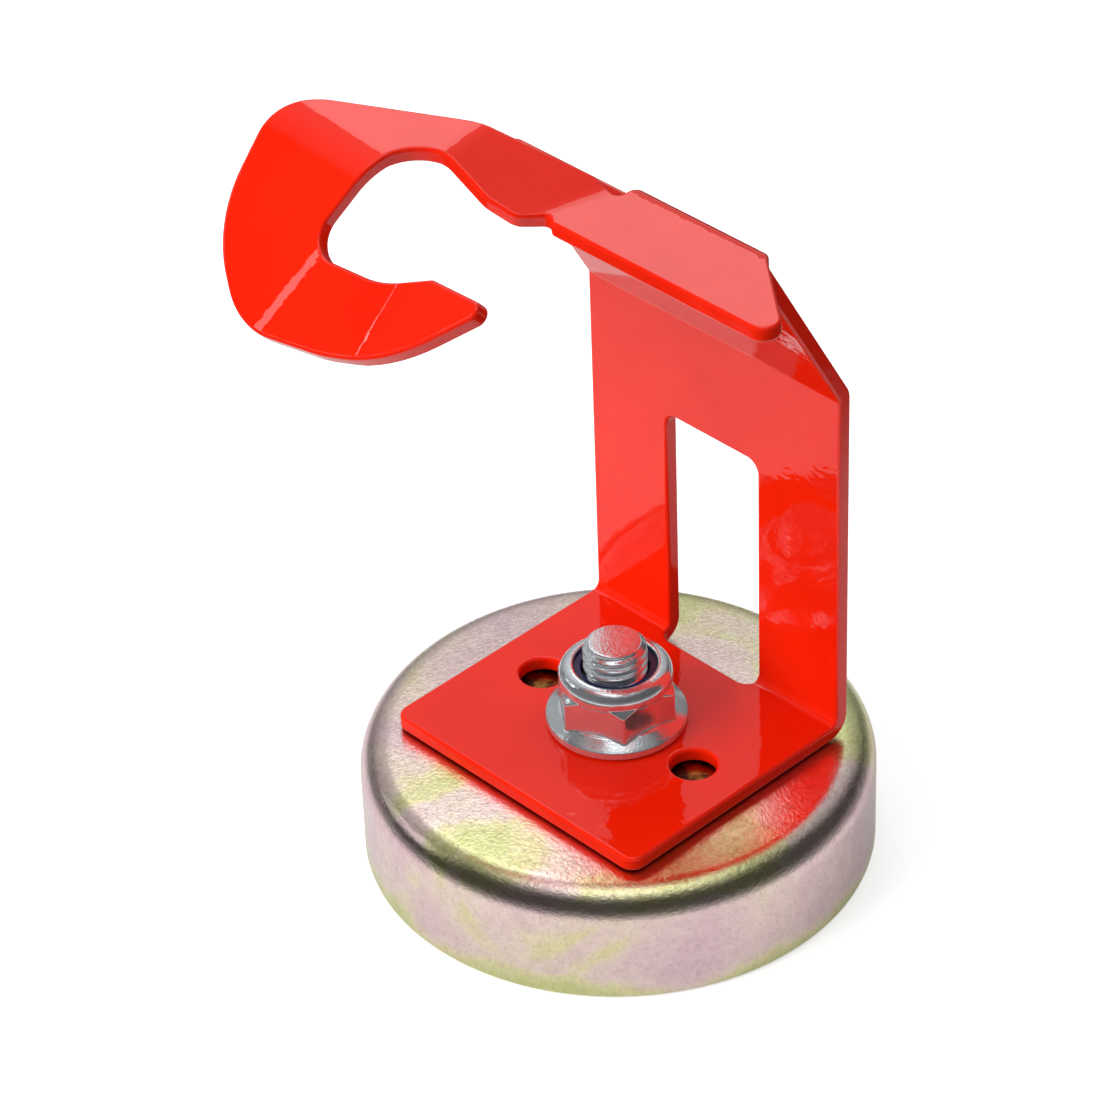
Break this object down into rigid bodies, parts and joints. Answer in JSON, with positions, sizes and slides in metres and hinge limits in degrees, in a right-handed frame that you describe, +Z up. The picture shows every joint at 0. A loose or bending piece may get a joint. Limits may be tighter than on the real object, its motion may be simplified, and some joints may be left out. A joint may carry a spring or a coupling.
{
  "type": "magnetic torch rest",
  "caption": "Folded steel rest with a crescent hook and flared shelf, clamped by a flange lock nut to a round pot magnet that holds it on steel.",
  "frame": {"origin": "centre of the magnet's working face, on the flat of the stud's head", "axes": "+Z up along the stud, -Y towards the foot's free edge (the front), -X towards the hook"},
  "size_m": [0.0858, 0.0841, 0.1243],
  "materials": {
    "passivated_zinc": "yellow-passivated zinc, glossy",
    "ferrite": "sintered, matt",
    "black_resin": "matt",
    "bright_zinc": "bright zinc, glossy",
    "red_powder_coat": "gloss powder coat",
    "navy_nylon": "satin"
  },
  "bodies": {
    "magnet_base": {"magnet_cup": "passivated_zinc", "ferrite_ring": "ferrite", "outer_spacer": "black_resin", "inner_spacer": "black_resin", "centre_pole": "passivated_zinc", "stud": "bright_zinc"},
    "bracket": {"bracket": "red_powder_coat"},
    "insert": {"nylon_insert": "navy_nylon"},
    "nut": {"lock_nut": "bright_zinc"}
  },
  "joints": [
    {"name": "bracket_swivel", "type": "hinge", "parent": "magnet_base", "child": "bracket", "pos_m": [0, 0, 0], "axis": [0, 0, 1], "continuous": true},
    {"name": "nut_travel", "type": "slide", "parent": "magnet_base", "child": "insert", "axis": [0, 0, 1], "range_m": [0, 0.012]},
    {"name": "nut_turn", "type": "hinge", "parent": "insert", "child": "nut", "pos_m": [0, 0, 0], "axis": [0, 0, 1], "range_deg": [0, 2880]}
  ],
  "couplings": [
    {"joint": "nut_turn", "follows": "nut_travel", "rad_per_m": 4188.8}
  ]
}
